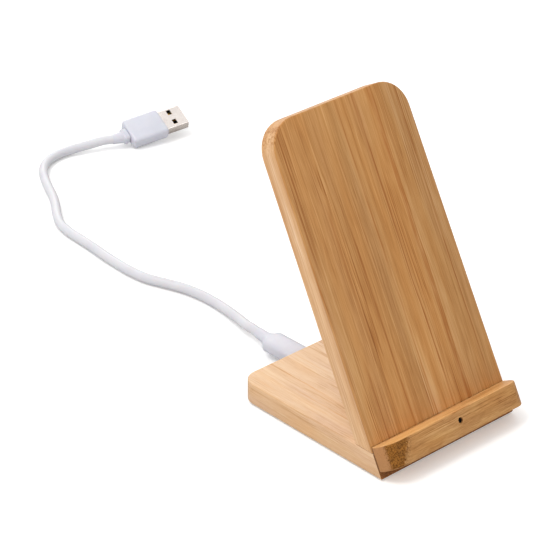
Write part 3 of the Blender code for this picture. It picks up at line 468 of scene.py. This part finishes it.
cover_bamboo = bamboo("cover_bamboo", "XYZ", True, BOARD_FACE, seed=63.0, contrast=0.9)
BASE_STREAKS = (
    (-32.2, 0.4, 0.55, 56.0, 84.0), (-28.5, 0.32, 0.5, 32.0, 60.0), (-26.0, 0.36, 0.85, 22.0, 66.0),
    (-22.5, 0.3, 0.55, 32.0, 58.0), (-20.0, 0.36, 0.9, 42.0, 80.0), (-14.2, 0.43, 0.45, 8.0, 52.0),
    (-8.0, 0.36, 0.5, 52.0, 84.0), (-2.6, 0.32, 0.6, -9.0, 40.0), (4.4, 0.36, 0.6, 14.0, 74.0),
    (9.7, 0.29, 0.45, 30.0, 90.0), (15.5, 0.32, 0.65, -9.0, 56.0), (21.8, 0.43, 0.55, 24.0, 90.0),
    (28.6, 0.32, 0.65, 6.0, 66.0), (32.8, 0.29, 0.5, 34.0, 90.0),
)
LEDGE_STREAKS = (
    (12.05, 0.16, 0.90, -28.0, -4.5), (9.2, 0.15, 0.75, -11.0, 0.0), (9.7, 0.20, 0.90, 1.0, 26.0),
    (11.1, 0.30, 0.60, 6.0, 28.0), (7.7, 0.12, 0.70, -25.0, -18.0), (7.2, 0.12, 0.60, 0.0, 8.0),
    (5.0, 0.12, 0.60, 6.0, 13.0), (8.6, 0.15, 0.50, 14.0, 30.0), (4.4, 0.12, 0.50, -17.0, -9.0),
    (6.2, 0.14, 0.50, 22.0, 34.0),
)
# painted light: the base's and the ledge's tops are painted lighter, as if lit from above
base_bamboo = bamboo("base_bamboo", "XZY", False, BASE, seed=29.0, run=0.42, contrast=0.66, lines=0.10, streaks=BASE_STREAKS,
                     streak_tone=(0.91, 0.73, 0.52), end_tone=srgb(136, 90, 52), painted_top_light=(1.02, 1.08, 1.15))
ledge_bamboo = bamboo("ledge_bamboo", "YZX", True, LEDGE, seed=47.0, strip=3.6, run=0.30, contrast=1.35,
                      lines=0.2, streaks=LEDGE_STREAKS, streak_by="through", streak_tone=(0.56, 0.40, 0.24), end_tone=srgb(146, 97, 44),
                      end_zone=(-5.2, -6.6, -26.4, -28.4), end_plain=srgb(179, 126, 79), seam_at=-0.30, painted_top_light=(1.40, 1.54, 1.80))


# ================================================================ other finishes
def dowel_wood():
    m = Maker("dowel_wood")
    x, y, z = m.split(m.mm())
    ray = m.noise(m.join(m.mul(x, 3.0), m.mul(y, 3.0), m.mul(z, 0.35)), 1.0, 3.0)
    fleck = m.step(m.noise(m.join(m.mul(x, 9.0), m.mul(y, 9.0), m.mul(z, 1.2)), 1.0, 1.0), 0.58, 0.68)
    c = m.ramp(ray, [(0.3, srgb(190, 150, 108)), (0.7, srgb(224, 190, 150))])
    c = m.mix(m.mul(fleck, 0.4), c, srgb(168, 124, 82))
    return m.set(colour=c, rough=m.step(ray, 0.2, 0.8, 0.5, 0.7), normal=m.bump(ray, 0.00005, 0.6), spec=0.3)


def moulded(name, colour, shade, rough=0.34, grain=0.000012, sub=0.10, grain_mm=0.22, spec=0.5):
    """Moulded plastic: a fine spark-eroded texture, faint flow clouding and edges painted lighter as a painted
    highlight.
    """
    m = Maker(name)
    p = m.mm()
    g = m.noise(p, 1.0 / grain_mm, 2.0, 0.6)
    cloud = m.noise(p, 0.16, 2.0, 0.5)
    flow = m.noise(m.vec("MULTIPLY", p, (0.5, 1.3, 1.9)), 0.5, 1.0, 0.5)
    c = m.mix(m.step(cloud, 0.35, 0.65, 0.0, 0.5), colour, shade)
    c = m.mix(m.step(flow, 0.45, 0.7, 0.0, 0.25), c, shade)
    # painted highlight: the edges are painted lighter where light catches them
    e = m.edges(0.0006)
    c = m.mix(m.mul(e, 0.25), c, m.mix(1.0, c, (1.08, 1.08, 1.07), "MULTIPLY"))
    r = m.add(rough, m.mul(m.math("SUBTRACT", g, 0.5), 0.10), m.mul(m.math("SUBTRACT", cloud, 0.5), 0.08), m.mul(e, -0.04))
    return m.set(colour=c, rough=r, normal=m.bump(g, grain, 0.8), sub=sub, sub_scale=0.0012, spec=spec)


def plated(name, colour, shade, rough=0.24, stretch=(0.25, 3.5, 3.5)):
    """Nickel plate over drawn steel: draw lines along the part, faint clouding, small handling marks."""
    m = Maker(name)
    p = m.mm()
    draw = m.noise(m.vec("MULTIPLY", p, stretch), 2.2, 3.0, 0.6)
    cloud = m.noise(p, 0.45, 3.0, 0.55)
    marks, _ = m.cells(m.vec("MULTIPLY", p, (0.4, 1.7, 1.0)), 0.9)
    scratch = m.mul(m.step(marks, 0.0, 0.05, 1.0, 0.0), m.step(cloud, 0.48, 0.6))
    c = m.mix(m.step(cloud, 0.35, 0.65), colour, shade)
    r = m.add(rough, m.mul(m.math("SUBTRACT", draw, 0.5), 0.22), m.mul(m.math("SUBTRACT", cloud, 0.5), 0.12), m.mul(scratch, 0.15))
    n = m.bump(m.add(m.mul(draw, 0.6), m.mul(scratch, -0.4)), 0.000010, 0.8)
    return m.set(colour=c, rough=r, metal=1.0, normal=n, aniso=0.35)


def rubbery(name, colour, shade, rough=0.75, grain_mm=0.35, bump=0.00003):
    m = Maker(name)
    p = m.mm()
    g = m.noise(p, 1.0 / grain_mm, 3.0, 0.65)
    dust = m.noise(p, 0.8, 3.0, 0.6)
    c = m.mix(m.step(dust, 0.45, 0.75, 0.0, 0.7), colour, shade)
    return m.set(colour=c, rough=m.add(rough, m.mul(m.math("SUBTRACT", g, 0.5), 0.2)), normal=m.bump(g, bump, 0.8), spec=0.3)


def solder_mask():
    """Green mask over copper: tracks show as slightly raised, lighter runs."""
    m = Maker("solder_mask")
    p = m.mm()
    grid = m.vec("SNAP", p, (1.1, 1.1, 1.1))
    pick = m.noise(grid, 0.33, 0.0)
    x, y, z = m.split(m.vec("FRACTION", m.vec("DIVIDE", p, (1.1, 1.1, 1.1))))
    tracks = m.mul(m.step(m.math("ABSOLUTE", m.math("SUBTRACT", x, 0.5)), 0.16, 0.22, 1.0, 0.0), m.step(pick, 0.45, 0.5))
    weave = m.noise(m.vec("MULTIPLY", p, (4.0, 4.0, 4.0)), 1.0, 1.0)
    c = m.mix(tracks, srgb(16, 78, 44), srgb(34, 116, 66))
    c = m.mix(m.mul(weave, 0.3), c, srgb(10, 60, 34))
    return m.set(colour=c, rough=m.add(0.32, m.mul(weave, 0.12)), normal=m.bump(m.add(tracks, m.mul(weave, 0.2)), 0.00004, 0.8), spec=0.5)


def epoxy():
    m = Maker("chip_epoxy")
    p = m.mm()
    g = m.noise(p, 5.0, 3.0, 0.6)
    c = m.mix(m.step(g, 0.4, 0.7), srgb(30, 30, 32), srgb(52, 52, 54))
    return m.set(colour=c, rough=m.add(0.55, m.mul(g, 0.2)), normal=m.bump(g, 0.00003, 0.7), spec=0.35)


def sintered():
    m = Maker("sintered_ferrite")
    p = m.mm()
    g = m.noise(p, 3.0, 4.0, 0.7)
    pit, _ = m.cells(p, 1.4)
    pits = m.step(pit, 0.06, 0.16, 1.0, 0.0)
    c = m.mix(m.step(g, 0.35, 0.7), srgb(44, 44, 47), srgb(74, 74, 78))
    return m.set(colour=c, rough=m.add(0.6, m.mul(g, 0.2)), normal=m.bump(m.add(g, m.mul(pits, -1.0)), 0.00005, 0.8), metal=0.15, spec=0.4)


def winding():
    """Enamelled wire laid in a flat spiral: fine rings about the coil's middle."""
    m = Maker("copper_winding")
    p = m.vec("SUBTRACT", m.mm(), (0, YF, ZB))
    r = m.t.nodes.new("ShaderNodeVectorRotate")
    r.rotation_type = "X_AXIS"
    m.put(r.inputs["Vector"], p)
    r.inputs["Angle"].default_value = LEAN
    x, y, s = m.split(r.outputs[0])
    upper = m.step(s, 70.9, 71.1)
    s_mid = m.add(49.0, m.mul(upper, 44.0))
    ds = m.math("SUBTRACT", s, s_mid)
    rad = m.math("SQRT", m.add(m.mul(x, x), m.mul(ds, ds)))
    turn = m.math("DIVIDE", m.math("ARCTAN2", ds, x), 2 * math.pi)
    phase = m.math("FRACT", m.add(m.math("DIVIDE", rad, 0.88), turn))
    bead_shape_and_shade = m.math("SINE", m.mul(phase, math.pi))
    strand = m.noise(m.join(m.mul(rad, 9.0), m.mul(turn, 60.0), m.mul(y, 9.0)), 1.0, 2.0)
    # painted shade and highlight: the ramp darkens the grooves between turns and lightens each wire's crest
    c = m.ramp(bead_shape_and_shade, [(0.0, srgb(70, 26, 10)), (0.35, srgb(158, 78, 34)), (1.0, srgb(206, 122, 66))])
    c = m.mix(m.mul(strand, 0.4), c, srgb(150, 74, 34))
    return m.set(colour=c, rough=m.add(0.28, m.mul(strand, 0.15)), metal=0.85, normal=m.bump(m.add(bead_shape_and_shade, m.mul(strand, 0.25)), 0.00018, 0.9), coat=0.3)


def gold():
    m = Maker("gold_flash")
    p = m.mm()
    g = m.noise(m.vec("MULTIPLY", p, (0.6, 4.0, 4.0)), 1.6, 3.0, 0.6)
    c = m.mix(m.step(g, 0.35, 0.65), srgb(196, 156, 80), srgb(216, 180, 106))
    return m.set(colour=c, rough=m.add(0.18, m.mul(g, 0.2)), metal=1.0, normal=m.bump(g, 0.00001, 0.8))


def smoked():
    m = Maker("smoked_lens")
    p = m.mm()
    g = m.noise(p, 2.2, 2.0)
    c = m.mix(m.step(g, 0.4, 0.6), srgb(5, 3, 3), srgb(12, 7, 7))
    return m.set(colour=c, rough=m.add(0.50, m.mul(g, 0.1)), normal=m.bump(g, 0.00001, 0.6), spec=0.06)


def jacket():
    """Extruded white elastomer: faint rings across from the haul-off and a very fine matt skin."""
    m = Maker("white_jacket")
    p = m.mm()
    g = m.noise(p, 4.5, 2.0, 0.6)
    long = m.noise(p, 0.09, 2.0, 0.5)
    c = m.mix(m.step(long, 0.4, 0.6, 0.0, 0.6), srgb(217, 217, 222), srgb(210, 210, 217))
    r = m.add(0.40, m.mul(m.math("SUBTRACT", g, 0.5), 0.12), m.mul(m.math("SUBTRACT", long, 0.5), 0.1))
    return m.set(colour=c, rough=r, normal=m.bump(g, 0.000014, 0.8), sub=0.12, sub_scale=0.0015, spec=0.45)


white_moulding = moulded("white_moulding", srgb(212, 213, 223), srgb(205, 206, 218))
FINISH = {
    "bamboo_board": board_bamboo,
    "bamboo_base": base_bamboo,
    "bamboo_ledge": ledge_bamboo,
    "dowel_wood": dowel_wood(),
    "cover_plastic": moulded("cover_plastic", srgb(38, 38, 40), srgb(48, 48, 50), rough=0.55, grain=0.00005, sub=0.0, grain_mm=0.35, spec=0.4),
    "smoked_lens": smoked(),
    "silicone": rubbery("silicone", srgb(62, 62, 64), srgb(96, 94, 92)),
    "white_moulding": white_moulding,
    "white_jacket": jacket(),
    "plated_steel": plated("plated_steel", srgb(254, 246, 240), srgb(246, 236, 230), rough=0.27),
    "screw_steel": plated("screw_steel", srgb(190, 190, 194), srgb(150, 150, 156), rough=0.32, stretch=(2.0, 2.0, 0.6)),
    "board_green": solder_mask(),
    "chip_black": epoxy(),
    "connector_black": moulded("connector_black", srgb(30, 30, 32), srgb(42, 42, 44), rough=0.45, sub=0.0, spec=0.4),
    "ferrite": sintered(),
    "enamelled_copper": winding(),
    "gold_plate": gold(),
    "lead_insulation": rubbery("lead_insulation", srgb(176, 34, 30), srgb(196, 60, 50), rough=0.45, bump=0.00001),
    "led_package": moulded("led_package", srgb(236, 236, 224), srgb(220, 220, 206), rough=0.4),
    "capacitor_tan": moulded("capacitor_tan", srgb(186, 160, 122), srgb(160, 132, 96), rough=0.35, sub=0.0, grain=0.00002),
}

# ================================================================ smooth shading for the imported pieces
def shading_group():
    """Joins the facets' shared corners and shades across all but the real arrises."""
    g = bpy.data.node_groups.new("soft_shading", "GeometryNodeTree")
    g.interface.new_socket("Geometry", in_out="INPUT", socket_type="NodeSocketGeometry")
    g.interface.new_socket("Geometry", in_out="OUTPUT", socket_type="NodeSocketGeometry")
    n = g.nodes
    i, o = n.new("NodeGroupInput"), n.new("NodeGroupOutput")
    drop = n.new("GeometryNodeRemoveAttribute")
    drop.inputs["Name"].default_value = "custom_normal"
    weld = n.new("GeometryNodeMergeByDistance")
    weld.inputs["Distance"].default_value = 0.000004
    faces = n.new("GeometryNodeSetShadeSmooth")
    faces.domain = "FACE"
    faces.inputs["Shade Smooth"].default_value = True
    angle = n.new("GeometryNodeInputMeshEdgeAngle")
    sharp = n.new("FunctionNodeCompare")
    sharp.data_type = "FLOAT"
    sharp.operation = "LESS_THAN"
    sharp.inputs[1].default_value = math.radians(34)
    edges = n.new("GeometryNodeSetShadeSmooth")
    edges.domain = "EDGE"
    link = g.links.new
    link(i.outputs[0], drop.inputs[0])
    link(drop.outputs[0], weld.inputs[0])
    link(weld.outputs[0], faces.inputs[0])
    link(faces.outputs[0], edges.inputs[0])
    link(angle.outputs[0], sharp.inputs[0])
    link(sharp.outputs[0], edges.inputs["Shade Smooth"])
    link(edges.outputs[0], o.inputs[0])
    return g


soft = shading_group()
SLOT_OF = {s["node"]: s["material_slot"] for s in frame["record"]["subparts"]}
for node, ob in NODES.items():
    finish = FINISH[SLOT_OF[node]]
    if node == "panel_rear_cover":
        finish = cover_bamboo
    if not ob.material_slots:
        ob.data.materials.append(finish)
    for s in ob.material_slots:
        s.material = finish
    ob.modifiers.new("soft_shading", "NODES").node_group = soft

# ================================================================ the cable
FACE, BOOT_LEN, NECK_LEN, NECK_BEND = 0.3, 18.0, 7.9, 0.15
NECK_SHIFT = NECK_BEND * NECK_LEN / 2
A_BODY_LEN, A_COLLAR_LEN, A_NECK_LEN, A_NECK_BEND = 18.5, 2.6, 4.7, 0.25
A_NECK_SHIFT = A_NECK_BEND * A_NECK_LEN / 2
A_BODY_W, A_BODY_H = 14.3, 6.2
START = YR + FACE + BOOT_LEN + NECK_LEN + 0.3
END = -(A_BODY_LEN + 0.3 + A_COLLAR_LEN + A_NECK_LEN + 0.3)
FLOOR = CABLE_D / 2 + 0.06

turn = (
    Matrix.Rotation(math.radians(-12.7), 3, "Z")
    @ Matrix.Rotation(math.radians(-5.9), 3, "Y")
    @ Matrix.Rotation(math.radians(23.2), 3, "X")
)
A_ROUND = 1.5
lowest = min(
    (turn @ Vector((x, y, z))).z
    for x in (-A_BODY_LEN + A_ROUND, -A_ROUND)
    for y in (-A_BODY_W / 2 + A_ROUND, A_BODY_W / 2 - A_ROUND)
    for z in (-A_BODY_H / 2 + A_ROUND, A_BODY_H / 2 - A_ROUND)
) - A_ROUND
A_PLACE = Vector((91.7, 241.0, 0.12 - lowest))


def plug_to_world(x, y, z):
    return tuple(A_PLACE + turn @ Vector((x, y, z)))


route = [
    (PORT_X + NECK_SHIFT + 0.3 * NECK_BEND, START, PORT_Z),
    (PORT_X + NECK_SHIFT + 0.7, START + 4.0, PORT_Z - 0.2),
    (-1.0, 77.9, 4.2),
    (1.4, 86.6, 3.15),
    (3.1, 95.0, 2.5),
    (4.0, 103.8, FLOOR),
    (3.7, 112.8, FLOOR),
    (2.1, 121.9, FLOOR),
    (-0.9, 130.3, FLOOR),
    (-3.9, 138.6, FLOOR),
    (-5.0, 147.8, FLOOR),
    (-4.9, 157.0, FLOOR),
    (-4.4, 165.9, FLOOR),
    (-3.5, 174.8, FLOOR),
    (-2.9, 183.7, FLOOR),
    (-2.4, 192.5, FLOOR),
    (-0.6, 201.2, FLOOR),
    (3.7, 209.3, FLOOR),
    (8.7, 216.7, FLOOR),
    (13.2, 224.4, FLOOR),
    (17.0, 232.4, FLOOR),
    (21.2, 240.5, FLOOR),
    (26.1, 247.9, FLOOR),
    (32.9, 253.4, FLOOR),
    (40.8, 255.65, FLOOR),
    (48.7, 254.75, FLOOR + 0.4),
    (56.3, 252.0, 3.5),
    plug_to_world(END - 3.8, A_NECK_SHIFT + 1.12, -0.1),
    plug_to_world(END, A_NECK_SHIFT + 0.3 * A_NECK_BEND, 0),
]


def curve_through(points, spacing):
    """Evenly spaced points on a smooth curve (centripetal Catmull-Rom) through the route's points."""
    p = [np.array(q, float) for q in points]
    p = [2 * p[0] - p[1]] + p + [2 * p[-1] - p[-2]]
    fine = []
    for i in range(1, len(p) - 2):
        a, b, c, d = p[i - 1:i + 3]
        t0 = 0.0
        t1 = t0 + np.linalg.norm(b - a) ** 0.5
        t2 = t1 + np.linalg.norm(c - b) ** 0.5
        t3 = t2 + np.linalg.norm(d - c) ** 0.5
        for t in np.linspace(t1, t2, 24, endpoint=False):
            a1 = (t1 - t) / (t1 - t0) * a + (t - t0) / (t1 - t0) * b
            a2 = (t2 - t) / (t2 - t1) * b + (t - t1) / (t2 - t1) * c
            a3 = (t3 - t) / (t3 - t2) * c + (t - t2) / (t3 - t2) * d
            b1 = (t2 - t) / (t2 - t0) * a1 + (t - t0) / (t2 - t0) * a2
            b2 = (t3 - t) / (t3 - t1) * a2 + (t - t1) / (t3 - t1) * a3
            fine.append((t2 - t) / (t2 - t1) * b1 + (t - t1) / (t2 - t1) * b2)
    fine.append(p[-2])
    fine = np.array(fine)
    run = np.concatenate([[0], np.cumsum(np.linalg.norm(np.diff(fine, axis=0), axis=1))])
    count = max(2, round(run[-1] / spacing) + 1)
    even = np.linspace(0, run[-1], count)
    return np.stack([np.interp(even, run, fine[:, k]) for k in range(3)], 1), run[-1]


line, cable_length = curve_through(route, 1.6)
# the ends run on a little way into both necks
line = np.vstack([2 * line[0] - line[1], line, 2 * line[-1] - line[-2]])
cable_length += 3.2
cable_curve = bpy.data.curves.new("cable", "CURVE")
cable_curve.dimensions = "3D"
cable_curve.bevel_depth = CABLE_D / 2 * MM
cable_curve.bevel_resolution = 8
cable_curve.use_fill_caps = True
spline = cable_curve.splines.new("POLY")
spline.points.add(len(line) - 1)
for point, q in zip(spline.points, line):
    point.co = (*[v * MM for v in q], 1.0)
spline.use_smooth = True
cable = bpy.data.objects.new("cable", cable_curve)
scene.collection.objects.link(cable)
cable_curve.materials.append(FINISH["white_jacket"])
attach(cable, "cable")
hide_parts("charging_cable")

# ================================================================ floor
floor_mesh = bpy.data.meshes.new("floor")
floor_mesh.from_pydata([(-6, -6, 0), (6, -6, 0), (6, 6, 0), (-6, 6, 0)], [], [(0, 1, 2, 3)])
floor = bpy.data.objects.new("floor", floor_mesh)
floor.location.z = -0.0002
scene.collection.objects.link(floor)
fm = Maker("studio_floor")
paper = fm.noise(fm.mm(), 1.2, 3.0, 0.6)
path = fm.t.nodes.new("ShaderNodeLightPath")
seen, mirrored = path.outputs["Is Camera Ray"], path.outputs["Is Glossy Ray"]
fm.put(fm.bsdf.inputs["Emission Color"], (1.0, 1.0, 1.0))
fm.put(fm.bsdf.inputs["Emission Strength"], fm.mul(seen, 0.22))
fm.set(colour=fm.mix(seen, fm.mix(mirrored, (0.78, 0.78, 0.78), (0.43, 0.42, 0.41)), fm.mix(paper, (0.90, 0.90, 0.90), (0.92, 0.92, 0.92))), rough=0.9, spec=0.1)
floor_mesh.materials.append(fm.mat)
